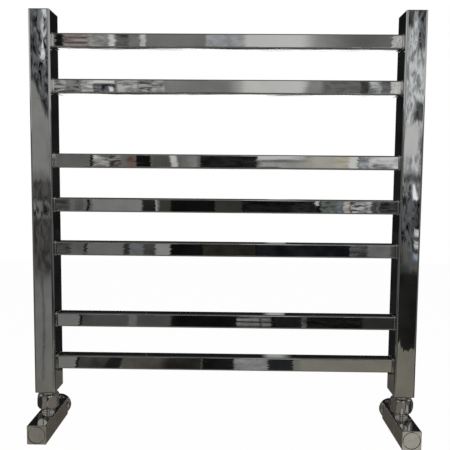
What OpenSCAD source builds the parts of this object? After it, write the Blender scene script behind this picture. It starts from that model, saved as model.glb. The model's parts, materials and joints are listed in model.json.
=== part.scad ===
/* [Rail frame] */
// Overall width across both columns
overall_w = 550; // [450:1:700]
// Width of a column seen from the front
column_w = 30; // [28:0.5:36]
// Depth of a column from front to back
column_d = 40; // [36:0.5:50]
// Wall of the column tube
column_wall = 1.5; // [1.2:0.1:2]
// Outer corner radius of the column tube
column_r = 3; // [2.2:0.1:4]
// Radius of the edges at a column's foot
foot_r = 2.4; // [1.5:0.1:3]
// Side of the square rail tube
rail_side = 20; // [16:0.5:24]
// Wall of the rail tube
rail_wall = 1.2; // [1:0.1:1.6]
// Outer corner radius of the rail tube
rail_r = 2; // [1.8:0.1:3]
// Thickness of the plate that closes a column's top
top_plate_t = 2; // [1.5:0.1:4]

/* [Rail spacing] */
// Height of the lowest rail's centre above the column bottom
bottom_margin = 43.5; // [36:0.5:50]
// Step between rails of one group, centre to centre
short_pitch = 63; // [50:0.5:80]
// Step between two groups of rails, centre to centre
long_pitch = 104.5; // [80:0.5:140]
// Height of column above the highest rail's centre
top_margin = 40.5; // [36:0.5:60]

/* [Wall brackets] */
// Distance from the wall to the back of the columns
wall_gap = 60; // [50:1:80]
// Height of the lower fixings above the column bottom
fixing_low = 90; // [70:1:110]
// Distance of the upper fixings below the column top
fixing_drop = 95; // [70:1:110]
// Diameter of the cup that is screwed to the wall
cup_d = 18; // [17:0.5:24]
// Length of the cup
cup_len = 35; // [28:1:42]
// Thickness of the cup's floor against the wall
cup_floor = 4; // [3:0.5:6]
// Diameter of the screw hole in the cup's floor
fixing_hole_d = 5.5; // [4:0.1:6]
// Diameter of the post that slides in the cup
post_d = 12; // [10:0.5:12.5]
// Diameter of the flange that is welded to the column
flange_d = 18; // [16:0.5:24]
// Thickness of the flange
flange_t = 3; // [2:0.5:5]
// Gap between the post's end and the cup's floor at the shortest setting
post_end_gap = 2; // [0.5:0.5:6]
// Diameter of the set screw that clamps the post
set_screw_d = 5; // [4:0.5:6]
// Distance from the cup's mouth to the set screw
set_screw_inset = 9; // [6:0.5:14]

/* [Vent and blanking ports] */
// Distance from the column top to the centre of a port
port_drop = 26; // [18:0.5:32]
// Outer diameter of the threaded port
port_d = 24; // [23:0.1:24]
// Diameter of the port's thread
port_thread_d = 20.8; // [18:0.1:21]
// Depth of the port inside the column
port_depth = 10; // [8:0.5:12]
// How far the port stands out of the column
port_rim = 2; // [1:0.25:4]
// Diameter of a plug's head
plug_head_d = 23.5; // [22:0.25:26]
// Thickness of a plug's head
plug_head_t = 4; // [3:0.25:5]
// Thickness of the gasket under a plug's head
gasket_t = 1; // [0.8:0.1:2]
// Width across the flats of the blanking plug's key socket
plug_key = 8; // [6:0.5:10]
// Diameter of the bleed screw
bleed_d = 6; // [5:0.25:7]
// Side of the square end that the vent key turns
bleed_square = 5; // [4:0.25:5.5]
// Length of the square end
bleed_square_len = 5; // [4:0.5:8]

/* [Inlet and union] */
// Distance from a column's outer face to the inlet's centre line
inlet_inset = 13.5; // [13.2:0.1:16]
// Height of the solid block that carries the inlet thread
inlet_block_h = 14; // [13:0.5:20]
// Diameter of the tail's upper thread
tail_thread_d = 20.8; // [18:0.1:21]
// Length of the tail's upper thread
tail_thread_len = 11; // [8:0.5:12]
// Diameter of the tail's plain collar
tail_collar_d = 21.5; // [21.2:0.1:23]
// Length of collar seen between the column and the union nut
tail_collar_len = 7; // [4:0.5:12]
// Diameter of the tail's water way
tail_bore = 13; // [10:0.5:14]
// Width across the flats of the key socket in the tail
tail_key = 12.7; // [10:0.1:14]
// Thickness of the flange that the union nut pulls on
tail_flange_t = 3; // [2:0.5:4]
// Thickness of the sealing washer under the tail
tail_washer_t = 2; // [1.5:0.5:3]
// Width across the flats of the union nut
nut_flats = 30; // [29:0.5:34]
// Height of the union nut
nut_h = 20; // [18:0.5:24]
// Turn at which the left union nut stopped when it was tightened
left_nut_turn = -18.5; // [-30:0.5:30]
// Turn at which the right union nut stopped when it was tightened
right_nut_turn = -9; // [-30:0.5:30]
// Thickness of the union nut's lip
nut_lip_t = 3; // [2:0.5:4]
// Diameter of the union thread on the valve's neck
union_thread_d = 26.4; // [24:0.1:26.5]

/* [Valve body] */
// Side of the square valve body and of its handle
valve_side = 27.5; // [26.5:0.5:32]
// Radius of the body's long edges
valve_edge_r = 2; // [0.5:0.1:2.5]
// Reach of the body behind the inlet's centre line
body_back = 50; // [44:0.5:56]
// Length of plain neck between the body and the union nut
neck_len = 6.5; // [6:0.5:16]
// Diameter of the plain neck
neck_d = 20; // [18:0.5:24]
// Diameter of the neck's water way
neck_bore = 14; // [10:0.5:15]
// Diameter of the chamber that holds the headwork
chamber_d = 17; // [16.5:0.1:18]
// Distance from the inlet's centre line back to the valve seat
seat_back = 8; // [8:0.25:12]
// Diameter of the opening in the seat
seat_bore = 9; // [7:0.5:11]
// Length of the seat's narrow opening
seat_len = 3; // [2:0.5:5]
// Diameter of the water way behind the seat
way_bore = 11; // [9:0.5:13]
// Diameter of the copper pipe that the valve takes
pipe_d = 15; // [12:0.1:15]
// Depth of the straight pipe socket
socket_len = 18; // [14:0.5:22]
// Outer diameter of the round inlet nut
inlet_nut_d = 33; // [30:0.5:36]
// Length of the inlet nut
inlet_nut_len = 10; // [9:0.5:14]
// Diameter of the thread under the inlet nut
inlet_thread_d = 24; // [22:0.1:25]
// Length of the thread behind the body
inlet_thread_len = 7; // [6:0.5:8]
// Length of the olive
olive_len = 5; // [4:0.5:6]

/* [Headwork and handles] */
// Length of a handle
handle_len = 40; // [38:0.5:50]
// Diameter of the round disc set into a handle's face
disc_d = 23.4; // [18:0.1:23.8]
// Width of the groove round the disc
disc_groove = 0.7; // [0.4:0.1:0.8]
// Thickness of the disc
disc_t = 2.8; // [2:0.1:4]
// Width of the slot for lifting the disc of the cap
pry_w = 3; // [2:0.5:5]
// Width across the flats of the headwork's outer hexagon
bonnet_flats = 19; // [17:0.5:19.5]
// Thickness of that hexagon
bonnet_hex_t = 4; // [3:0.5:6]
// Diameter of the headwork's nose
bonnet_nose_d = 13; // [12:0.5:15]
// Length of the headwork's nose
bonnet_nose_len = 13; // [11:0.5:14]
// Width across the flats of the sliding plug's hexagon
clack_flats = 12; // [11:0.1:12.2]
// Diameter of the spindle
spindle_d = 8; // [7:0.1:8.4]
// Side of the square that carries the handle
spindle_square = 5.5; // [4.5:0.1:5.5]
// Length of that square
spindle_square_len = 10; // [8:0.5:12]
// How far the sliding plug lifts off its seat
lift = 4; // [3:0.1:4.4]
// Thickness of the rubber washer on the sliding plug
clack_washer_t = 2.2; // [1.5:0.1:3]
// Diameter of the handle's fixing screw
handle_screw_d = 3; // [2.5:0.1:4]

/* [Hidden] */

$fn = 48;
// Radial clearance between screwed or soldered pieces that stay put
thread_fit = 0.1;
// Radial clearance between pieces that slide or turn on each other
run_fit = 0.08;
// Radial clearance of the pipe in its socket
pipe_fit = 0.05;
// Gap between faces that come close without touching
seat_gap = 0.3;
// Overshoot of a cutting tool beyond the face it cuts
cut = 1;
corner_fn = 24;

LEFT = -1;
RIGHT = 1;

rail_steps = [short_pitch, long_pitch, short_pitch, short_pitch, long_pitch, short_pitch];
rail_count = len(rail_steps) + 1;
column_h = bottom_margin + sum_to(rail_steps, rail_count - 1) + top_margin;

// The origin is the centre of the four wall fixings, on the wall, with the front at -Y
fixing_z = (column_h - fixing_low - fixing_drop) / 2;
column_bottom = -fixing_z - fixing_low;
column_top = fixing_z + fixing_drop;
column_x = (overall_w - column_w) / 2;
column_back = -wall_gap;
column_y = column_back - column_d / 2;
column_inner_w = column_w - 2 * column_wall;
column_inner_d = column_d - 2 * column_wall;
column_inner_r = column_r - column_wall;
rail_len = overall_w - 2 * column_w;
rail_inner = rail_side - 2 * rail_wall;
rail_inner_r = rail_r - rail_wall;

cup_bore = post_d + 2 * run_fit;
set_screw_y = -cup_len + set_screw_inset;
set_screw_tip = cup_bore / 2 + seat_gap;
set_screw_key_depth = (cup_d / 2 - set_screw_tip) * 0.6;
port_z = column_top - port_drop;
port_bore = port_thread_d + 2 * thread_fit;
port_face = column_back + port_rim;
plug_end_gap = 1;
plug_thread_len = port_depth + port_rim - plug_end_gap;
plug_back = port_face + gasket_t + plug_head_t;
plug_key_depth = plug_head_t + gasket_t;
bleed_bore = bleed_d + 2 * run_fit;
bleed_floor = 3;
bleed_tip = port_face - plug_thread_len + bleed_floor;
bleed_seat_bore = bleed_d / 3;
bleed_square_front = plug_back + seat_gap;
vent_outlet_d = 1.6;
plug_bevel = 1;

inlet_x = overall_w / 2 - inlet_inset;
nut_top = column_bottom - tail_collar_len;
nut_bottom = nut_top - nut_h;
nut_ball_d = nut_flats / cos(30) + seat_gap;
tail_flange_top = nut_top - nut_lip_t;
tail_flange_d = union_thread_d - 2;
tail_bottom = tail_flange_top - tail_flange_t;
neck_top = tail_bottom - tail_washer_t;
valve_z = nut_bottom - neck_len - valve_side / 2;

// Positions along a valve are measured back from the inlet's centre line, so the front is negative
body_front = -valve_side / 2;
block_end_r = valve_edge_r / 2;
socket_bore = pipe_d + 2 * pipe_fit;
thread_end = body_back + inlet_thread_len;
olive_collar_len = 2;
cone_len = olive_len - olive_collar_len;
socket_front = thread_end - cone_len - socket_len;
olive_wall = 1.6;
olive_edge = 0.2;
inlet_nut_front = body_back + seat_gap;
inlet_nut_back = inlet_nut_front + inlet_nut_len;
inlet_nut_floor = thread_end - cone_len + olive_len + 2 * seat_gap;
nut_rim_r = 1.5;

bonnet_thread_len = 8.25;
bonnet_inner_end = body_front + bonnet_thread_len;
bonnet_thread_d = chamber_d - 2 * thread_fit;
hex_front = body_front - bonnet_hex_t;
nose_front = hex_front - bonnet_nose_len;
guide_end = hex_front + seat_gap;
collar_t = 1.5;

handle_gap = 0.4;
handle_back = body_front - handle_gap;
handle_front = handle_back - handle_len;
disc_seat = handle_front + disc_t;
recess_d = disc_d + 2 * disc_groove;
// Room between the disc's seat and the screw's head
head_room = 5.1;
screw_head_d = 2 * handle_screw_d;
screw_head_front = disc_seat + head_room;
screw_head_back = screw_head_front + handle_screw_d;
hub_floor = 1.5;
square_front = screw_head_back + hub_floor;
square_back = square_front + spindle_square_len;
collar_front = guide_end + seat_gap;
collar_back = collar_front + collar_t;
collar_d = clack_flats - 2 * seat_gap;
spindle_thread_d = spindle_d - 2 * thread_fit;
seal_ring_d = 1.1;
seal_groove_d = spindle_d - 2 * seal_ring_d - 0.2;
seal_groove_w = 1.6;
seal_step = 5;
seal_inset = 1;
seal_places = [nose_front + seal_step - seal_inset, nose_front + 2 * seal_step - seal_inset];

clack_washer_back = seat_back - seat_gap;
clack_flange_back = clack_washer_back - clack_washer_t;
clack_flange_t = 2;
clack_flange_front = clack_flange_back - clack_flange_t;
clack_play = 3;
clack_flange_d = chamber_d - clack_play;
clack_washer_d = clack_flange_d - 0.5;
clack_stud_d = seat_bore / 2;
clack_front = collar_back + lift + 2 * seat_gap;
clack_bore = spindle_thread_d + 2 * thread_fit;
clack_bore_end = clack_flange_front - clack_flange_t;
spindle_tip = clack_bore_end - lift - 2 * seat_gap;

handle_bore = bonnet_flats / cos(30) + 2 * seat_gap;
hub_back = min(square_back, nose_front) - seat_gap;
screw_head_floor = 1;
screw_key = 0.8 * handle_screw_d;
handle_screw_len = 7;
recess_bore_d = screw_head_d + 1;
spigot_d = screw_head_d + 0.8;
spigot_len = 2;
disc_bevel = 0.4;
cap_floor = 3;
pry_depth = 1;

function sum_to(list, n) = n <= 0 ? 0 : list[n - 1] + sum_to(list, n - 1);
// Height of rail number i, counted from the top
function rail_z(i) = column_bottom + bottom_margin + sum_to(rail_steps, rail_count - i);

// Rectangle with round corners, centred
module rounded_rect(w, d, r) {
    square([w, d - 2 * r], center = true);
    square([w - 2 * r, d], center = true);
    for (x = [-1, 1], y = [-1, 1])
        translate([x * (w / 2 - r), y * (d / 2 - r)])
            circle(r = r, $fn = corner_fn);
}

// Cylinder along Y between two positions
module bar_y(d, front, back) {
    translate([0, front, 0])
        rotate([-90, 0, 0])
            cylinder(d = d, h = back - front);
}

// Hexagonal bar along Y, sized across its flats
module hex_y(flats, front, back) {
    translate([0, front, 0])
        rotate([-90, 0, 0])
            cylinder(d = flats / cos(30), h = back - front, $fn = 6);
}

// Square bar along Y
module square_y(side, front, back) {
    translate([-side / 2, front, -side / 2])
        cube([side, back - front, side]);
}

// Square bar along Y with its long edges rounded by r and its ends by end_r
module soft_bar_y(side, front, back, r, end_r) {
    len = back - front;
    translate([0, front + len / 2, 0])
        intersection() {
            rotate([90, 0, 0])
                linear_extrude(height = len, center = true)
                    rounded_rect(side, side, r);
            linear_extrude(height = side, center = true)
                rounded_rect(side, len, end_r);
            rotate([0, 90, 0])
                linear_extrude(height = side, center = true)
                    rounded_rect(side, len, end_r);
        }
}

// Ring with a round section, lying across Y
module ring_y(inner_d, section_d, at) {
    translate([0, at, 0])
        rotate([-90, 0, 0])
            rotate_extrude()
                translate([inner_d / 2 + section_d / 2, 0])
                    circle(d = section_d, $fn = corner_fn);
}

module at_inlet(side) {
    translate([side * inlet_x, column_y, 0])
        children();
}

module at_valve(side) {
    translate([side * inlet_x, column_y, valve_z])
        children();
}

// ---- Rail frame ----

module column_outline(w, d, r) {
    linear_extrude(height = column_h)
        rounded_rect(w, d, r);
}

// Side view of a column, with a softer edge at its foot than at its top
module column_profile(w) {
    translate([0, column_h / 2])
        rounded_rect(w, column_h, foot_r);
    translate([0, (column_h + foot_r) / 2])
        rounded_rect(w, column_h - foot_r, column_wall);
}

// Column with all its end edges rounded
module column_shell() {
    intersection() {
        column_outline(column_w, column_d, column_r);
        rotate([90, 0, 0])
            linear_extrude(height = column_d, center = true)
                column_profile(column_w);
        rotate([90, 0, 90])
            linear_extrude(height = column_w, center = true)
                column_profile(column_d);
    }
}

module column(side) {
    color("silver")
        difference() {
            translate([side * column_x, column_y, column_bottom])
                column_shell();
            translate([side * column_x, column_y, column_bottom - cut])
                linear_extrude(height = column_h + 2 * cut)
                    rounded_rect(column_inner_w, column_inner_d, column_inner_r);
            for (i = [1:rail_count])
                translate([side * (rail_len / 2 + column_wall / 2), column_y, rail_z(i)])
                    rotate([0, 90, 0])
                        linear_extrude(height = column_wall + 2 * cut, center = true)
                            rounded_rect(rail_inner, rail_inner, rail_inner_r);
            translate([side * column_x, 0, port_z])
                bar_y(port_d + 2 * thread_fit, column_back - column_wall - cut, column_back + cut);
        }
}

module rail(i) {
    color("silver")
        translate([0, column_y, rail_z(i)])
            rotate([0, 90, 0])
                linear_extrude(height = rail_len, center = true)
                    difference() {
                        rounded_rect(rail_side, rail_side, rail_r);
                        rounded_rect(rail_inner, rail_inner, rail_inner_r);
                    }
}

// Piece that fills the tube's bore over a length, with the soldering clearance all round
module tube_plug(side, bottom, height) {
    translate([side * column_x, column_y, bottom])
        linear_extrude(height = height)
            rounded_rect(
                column_inner_w - 2 * thread_fit, column_inner_d - 2 * thread_fit,
                column_inner_r
            );
}

module top_plate(side) {
    color("silver")
        tube_plug(side, column_top - top_plate_t, top_plate_t);
}

module inlet_block(side) {
    color("silver")
        difference() {
            tube_plug(side, column_bottom, inlet_block_h);
            at_inlet(side)
                translate([0, 0, column_bottom - cut])
                    cylinder(d = tail_thread_d + 2 * thread_fit, h = inlet_block_h + 2 * cut);
        }
}

// ---- Vent and blanking ports ----

module port(side) {
    color("silver")
        translate([side * column_x, 0, port_z])
            difference() {
                bar_y(port_d, column_back - port_depth, port_face);
                bar_y(port_bore, column_back - port_depth - cut, port_face + cut);
            }
}

// Turned plug: thread, then a head with a bevelled rim
module plug_blank() {
    bar_y(port_thread_d, port_face - plug_thread_len, port_face + gasket_t);
    bar_y(plug_head_d, port_face + gasket_t, plug_back - plug_bevel);
    translate([0, plug_back - plug_bevel, 0])
        rotate([-90, 0, 0])
            cylinder(d1 = plug_head_d, d2 = plug_head_d - 2 * plug_bevel, h = plug_bevel);
}

module vent_plug() {
    color("silver")
        translate([-column_x, 0, port_z])
            difference() {
                plug_blank();
                bar_y(bleed_bore, bleed_tip - seat_gap, plug_back + cut);
                bar_y(bleed_seat_bore, port_face - plug_thread_len - cut, bleed_tip);
                translate([0, port_face + gasket_t + plug_head_t / 2, -plug_head_d])
                    cylinder(d = vent_outlet_d, h = plug_head_d);
            }
}

module bleed_screw() {
    color("goldenrod")
        translate([-column_x, 0, port_z]) {
            bar_y(bleed_d, bleed_tip, bleed_square_front);
            square_y(bleed_square, bleed_square_front, bleed_square_front + bleed_square_len);
        }
}

module blanking_plug() {
    color("silver")
        translate([column_x, 0, port_z])
            difference() {
                plug_blank();
                hex_y(plug_key, plug_back - plug_key_depth, plug_back + cut);
            }
}

module port_gaskets() {
    color("dimgray")
        for (side = [LEFT, RIGHT])
            translate([side * column_x, 0, port_z])
                difference() {
                    bar_y(plug_head_d - 1, port_face, port_face + gasket_t);
                    bar_y(port_bore, port_face - cut, port_face + gasket_t + cut);
                }
}

// ---- Wall brackets ----

module bracket_post(side, level) {
    color("silver")
        translate([side * column_x, 0, level * fixing_z]) {
            bar_y(flange_d, column_back, column_back + flange_t);
            bar_y(post_d, column_back + flange_t, -cup_floor - post_end_gap);
        }
}

module bracket_cup(side, level) {
    color("silver")
        translate([side * column_x, 0, level * fixing_z])
            difference() {
                bar_y(cup_d, -cup_len, 0);
                bar_y(cup_bore, -cup_len - cut, -cup_floor);
                bar_y(fixing_hole_d, -cup_floor - cut, cut);
                translate([0, set_screw_y, -cup_d])
                    cylinder(d = set_screw_d + 2 * thread_fit, h = cup_d);
            }
}

module set_screws() {
    color("dimgray")
        for (side = [LEFT, RIGHT], level = [-1, 1])
            translate([side * column_x, set_screw_y, level * fixing_z])
                difference() {
                    translate([0, 0, -cup_d / 2])
                        cylinder(d = set_screw_d, h = cup_d / 2 - set_screw_tip);
                    translate([0, 0, -cup_d / 2 - cut])
                        cylinder(d = set_screw_d / 2 / cos(30), h = cut + set_screw_key_depth, $fn = 6);
                }
}

// ---- Union between column and valve ----

module tail(side) {
    color("silver")
        at_inlet(side)
            difference() {
                union() {
                    translate([0, 0, column_bottom])
                        cylinder(d = tail_thread_d, h = tail_thread_len);
                    translate([0, 0, tail_flange_top])
                        cylinder(d = tail_collar_d, h = column_bottom - tail_flange_top);
                    translate([0, 0, tail_bottom])
                        cylinder(d = tail_flange_d, h = tail_flange_t);
                }
                translate([0, 0, tail_bottom - cut])
                    cylinder(d = tail_bore, h = tail_thread_len + column_bottom - tail_bottom + 2 * cut);
                translate([0, 0, tail_bottom - cut])
                    cylinder(d = tail_key / cos(30), h = tail_thread_len, $fn = 6);
            }
}

module tail_washer(side) {
    color("dimgray")
        at_inlet(side)
            translate([0, 0, neck_top])
                difference() {
                    cylinder(d = tail_flange_d, h = tail_washer_t);
                    translate([0, 0, -cut])
                        cylinder(d = neck_bore, h = tail_washer_t + 2 * cut);
                }
}

// Hexagonal nut turned to a ball, bored for the thread and open above for the collar
module union_nut(side) {
    color("silver")
        at_inlet(side)
            difference() {
                intersection() {
                    translate([0, 0, nut_bottom])
                        rotate([0, 0, side == LEFT ? left_nut_turn : right_nut_turn])
                            cylinder(d = nut_flats / cos(30), h = nut_h, $fn = 6);
                    translate([0, 0, nut_bottom + nut_h / 2])
                        sphere(d = nut_ball_d, $fn = 64);
                }
                translate([0, 0, nut_bottom - cut])
                    cylinder(d = union_thread_d + 2 * thread_fit, h = nut_h - nut_lip_t + cut);
                translate([0, 0, nut_bottom])
                    cylinder(d = tail_collar_d + 2 * thread_fit, h = nut_h + cut);
            }
}

// ---- Valve body and inlet ----

module valve_body(side) {
    color("silver")
        at_valve(side)
            difference() {
                union() {
                    soft_bar_y(valve_side, body_front, body_back, valve_edge_r, block_end_r);
                    bar_y(inlet_thread_d, body_back - cut, thread_end);
                    cylinder(d = neck_d, h = nut_bottom - valve_z + cut);
                    translate([0, 0, nut_bottom - valve_z])
                        cylinder(d = union_thread_d, h = neck_top - nut_bottom);
                }
                bar_y(chamber_d, body_front - cut, seat_back);
                bar_y(seat_bore, seat_back - cut, seat_back + seat_len);
                bar_y(way_bore, seat_back + seat_len, socket_front + cut);
                bar_y(socket_bore, socket_front, thread_end + cut);
                translate([0, thread_end - cone_len, 0])
                    rotate([-90, 0, 0])
                        cylinder(
                            d1 = socket_bore + 2 * thread_fit,
                            d2 = socket_bore + 2 * olive_wall + 4 * thread_fit,
                            h = cone_len + thread_fit
                        );
                cylinder(d = neck_bore, h = neck_top - valve_z + cut);
            }
}

// Compression ring, tapered at both ends
module olive(side) {
    bore_r = socket_bore / 2;
    color("goldenrod")
        at_valve(side)
            translate([0, thread_end - cone_len + seat_gap, 0])
                rotate([-90, 0, 0])
                    rotate_extrude()
                        polygon([
                            [bore_r, 0],
                            [bore_r + olive_edge, 0],
                            [bore_r + olive_wall, cone_len - olive_edge],
                            [bore_r + olive_wall, cone_len + seat_gap],
                            [bore_r + olive_edge, olive_len],
                            [bore_r, olive_len]
                        ]);
}

module inlet_nut(side) {
    color("silver")
        at_valve(side)
            difference() {
                translate([0, inlet_nut_front, 0])
                    rotate([-90, 0, 0])
                        rotate_extrude($fn = 72)
                            rounded_nut_profile();
                bar_y(inlet_thread_d + 2 * thread_fit, inlet_nut_front - cut, inlet_nut_floor);
                bar_y(socket_bore, inlet_nut_floor - cut, inlet_nut_back + cut);
            }
}

// Half section of the inlet nut with its two rims rounded
module rounded_nut_profile() {
    difference() {
        translate([0, inlet_nut_len / 2])
            rounded_rect(inlet_nut_d, inlet_nut_len, nut_rim_r);
        translate([-inlet_nut_d, -cut])
            square([inlet_nut_d, inlet_nut_len + 2 * cut]);
    }
}

// ---- Headwork ----

module bonnet(side) {
    color("goldenrod")
        at_valve(side)
            difference() {
                union() {
                    bar_y(bonnet_thread_d, body_front, bonnet_inner_end);
                    hex_y(bonnet_flats, hex_front, body_front);
                    bar_y(bonnet_nose_d, nose_front, hex_front);
                }
                hex_y(clack_flats + 2 * run_fit, guide_end, bonnet_inner_end + cut);
                bar_y(spindle_d + 2 * run_fit, nose_front - cut, guide_end + cut);
            }
}

module spindle(side) {
    color("goldenrod")
        at_valve(side)
            difference() {
                union() {
                    bar_y(spindle_thread_d, collar_back, spindle_tip);
                    bar_y(collar_d, collar_front, collar_back);
                    bar_y(spindle_d, square_back, collar_front);
                    square_y(spindle_square, square_front, square_back);
                }
                for (at = seal_places)
                    difference() {
                        bar_y(spindle_d + cut, at - seal_groove_w / 2, at + seal_groove_w / 2);
                        bar_y(seal_groove_d, at - seal_groove_w, at + seal_groove_w);
                    }
                bar_y(handle_screw_d + 2 * thread_fit, square_front - cut, square_front + handle_screw_len + cut);
            }
}

module spindle_seals(side) {
    color("dimgray")
        at_valve(side)
            for (at = seal_places)
                ring_y(seal_groove_d, seal_ring_d, at);
}

// Sliding plug: hexagonal shank, flange and the stud that holds its washer
module clack(side) {
    color("goldenrod")
        at_valve(side)
            difference() {
                union() {
                    hex_y(clack_flats, clack_front, clack_flange_front);
                    bar_y(clack_flange_d, clack_flange_front, clack_flange_back);
                    bar_y(clack_stud_d, clack_flange_back - cut, clack_washer_back - seat_gap);
                }
                bar_y(clack_bore, clack_front - cut, clack_bore_end);
            }
}

module clack_washer(side) {
    color("dimgray")
        at_valve(side)
            difference() {
                bar_y(clack_washer_d, clack_flange_back, clack_washer_back);
                bar_y(clack_stud_d + 2 * thread_fit, clack_flange_back - cut, clack_washer_back + cut);
            }
}

// ---- Knob, lockshield cap and their discs ----

// Square block with the disc's recess in its face
module handle_block() {
    difference() {
        soft_bar_y(valve_side, handle_front, handle_back, valve_edge_r, block_end_r);
        bar_y(recess_d, handle_front - cut, disc_seat);
    }
}

module knob() {
    color("silver")
        at_valve(LEFT)
            difference() {
                handle_block();
                bar_y(handle_bore, hub_back, handle_back + cut);
                square_y(spindle_square + 2 * run_fit, square_front - seat_gap, hub_back + cut);
                bar_y(handle_screw_d + 2 * thread_fit, screw_head_back - cut, square_front);
                bar_y(recess_bore_d, disc_seat - cut, screw_head_back);
            }
}

module knob_screw() {
    color("dimgray")
        at_valve(LEFT)
            difference() {
                union() {
                    bar_y(screw_head_d, screw_head_front, screw_head_back);
                    bar_y(handle_screw_d, screw_head_back, square_front + handle_screw_len);
                }
                hex_y(screw_key, screw_head_front - cut, screw_head_back - screw_head_floor);
            }
}

module cap() {
    color("silver")
        at_valve(RIGHT)
            difference() {
                handle_block();
                bar_y(handle_bore, disc_seat + cap_floor, handle_back + cut);
                bar_y(recess_bore_d, disc_seat - cut, disc_seat + cap_floor + cut);
                translate([-pry_w / 2, handle_front - cut, disc_d / 2 - cut])
                    cube([pry_w, pry_depth + cut, cut + 2 * disc_groove]);
            }
}

// Disc with a bevelled rim and a spigot that plugs into the block behind it
module handle_disc(side) {
    color("silver")
        at_valve(side) {
            translate([0, handle_front, 0])
                rotate([-90, 0, 0])
                    cylinder(d1 = disc_d - 2 * disc_bevel, d2 = disc_d, h = disc_bevel);
            bar_y(disc_d, handle_front + disc_bevel, disc_seat);
            bar_y(spigot_d, disc_seat, disc_seat + spigot_len);
        }
}

column(LEFT);  // left_column
column(RIGHT);  // right_column
rail(1);  // rail_1
rail(2);  // rail_2
rail(3);  // rail_3
rail(4);  // rail_4
rail(5);  // rail_5
rail(6);  // rail_6
rail(7);  // rail_7
top_plate(LEFT);  // left_top_plate
top_plate(RIGHT);  // right_top_plate
inlet_block(LEFT);  // left_inlet_block
inlet_block(RIGHT);  // right_inlet_block
port(LEFT);  // vent_port
vent_plug();
bleed_screw();
port(RIGHT);  // blank_port
blanking_plug();
port_gaskets();
bracket_post(LEFT, 1);  // upper_left_post
bracket_post(RIGHT, 1);  // upper_right_post
bracket_post(LEFT, -1);  // lower_left_post
bracket_post(RIGHT, -1);  // lower_right_post
bracket_cup(LEFT, 1);  // upper_left_cup
bracket_cup(RIGHT, 1);  // upper_right_cup
bracket_cup(LEFT, -1);  // lower_left_cup
bracket_cup(RIGHT, -1);  // lower_right_cup
set_screws();
tail(LEFT);  // left_tail
tail_washer(LEFT);  // left_tail_washer
union_nut(LEFT);  // left_union_nut
valve_body(LEFT);  // left_valve_body
olive(LEFT);  // left_olive
inlet_nut(LEFT);  // left_inlet_nut
bonnet(LEFT);  // left_bonnet
spindle(LEFT);  // left_spindle
spindle_seals(LEFT);  // left_spindle_seals
clack(LEFT);  // left_clack
clack_washer(LEFT);  // left_clack_washer
knob();  // left_knob
handle_disc(LEFT);  // left_knob_disc
knob_screw();  // left_knob_screw
tail(RIGHT);  // right_tail
tail_washer(RIGHT);  // right_tail_washer
union_nut(RIGHT);  // right_union_nut
valve_body(RIGHT);  // right_valve_body
olive(RIGHT);  // right_olive
inlet_nut(RIGHT);  // right_inlet_nut
bonnet(RIGHT);  // right_bonnet
spindle(RIGHT);  // right_spindle
spindle_seals(RIGHT);  // right_spindle_seals
clack(RIGHT);  // right_clack
clack_washer(RIGHT);  // right_clack_washer
cap();  // right_cap
handle_disc(RIGHT);  // right_cap_disc
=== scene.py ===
# %% [markdown]
# # A towel warmer rack in chrome
# The rack is a ladder of square tubes: two upright collectors joined by seven rails, with a square
# union valve under each collector and four telescopic brackets behind. Its solids come from the CAD
# model as a fixed frame. This notebook dresses them: it sets up a camera and a small studio, mixes
# the finishes from shader nodes, and models the small forms that a welder and a plater leave.

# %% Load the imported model
import itertools
import json
import math

import bpy
from mathutils import Matrix, Vector


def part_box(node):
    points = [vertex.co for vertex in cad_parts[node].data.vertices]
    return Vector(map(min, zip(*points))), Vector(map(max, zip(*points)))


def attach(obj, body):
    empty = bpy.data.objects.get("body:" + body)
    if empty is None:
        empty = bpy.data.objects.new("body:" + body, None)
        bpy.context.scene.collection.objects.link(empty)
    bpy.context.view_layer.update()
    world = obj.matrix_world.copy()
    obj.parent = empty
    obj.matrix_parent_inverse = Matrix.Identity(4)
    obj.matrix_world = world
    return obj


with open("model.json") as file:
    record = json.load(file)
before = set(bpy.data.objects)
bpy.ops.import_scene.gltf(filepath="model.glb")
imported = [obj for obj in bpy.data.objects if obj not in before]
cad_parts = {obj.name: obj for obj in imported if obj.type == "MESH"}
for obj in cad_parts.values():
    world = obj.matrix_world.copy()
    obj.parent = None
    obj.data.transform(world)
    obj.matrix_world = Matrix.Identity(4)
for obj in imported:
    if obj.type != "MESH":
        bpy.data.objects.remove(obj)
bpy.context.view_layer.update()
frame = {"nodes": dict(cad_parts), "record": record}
record = frame["record"]
nodes = frame["nodes"]

# %% [markdown]
# ## Camera
# A rack hangs at eye height on a wall, so the camera stands 90 cm in front of it, a hand's breadth
# above its middle, and looks down by less than five degrees. A 45 mm lens gives that mild
# perspective. The turn is written as yaw, pitch and roll, because each can then be set alone.

# %% Place the camera
camera_place = Vector((0.01095, -0.89665, 0.04185))
camera_yaw = math.radians(-0.823)
camera_pitch = math.radians(4.593)
camera_roll = math.radians(0.478)

ahead = Vector((math.sin(camera_yaw) * math.cos(camera_pitch),
                math.cos(camera_yaw) * math.cos(camera_pitch),
                -math.sin(camera_pitch)))
level_right = Vector((math.cos(camera_yaw), -math.sin(camera_yaw), 0.0))
level_up = level_right.cross(ahead)
camera_right = level_right * math.cos(camera_roll) + level_up * math.sin(camera_roll)
camera_up = level_up * math.cos(camera_roll) - level_right * math.sin(camera_roll)

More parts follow.
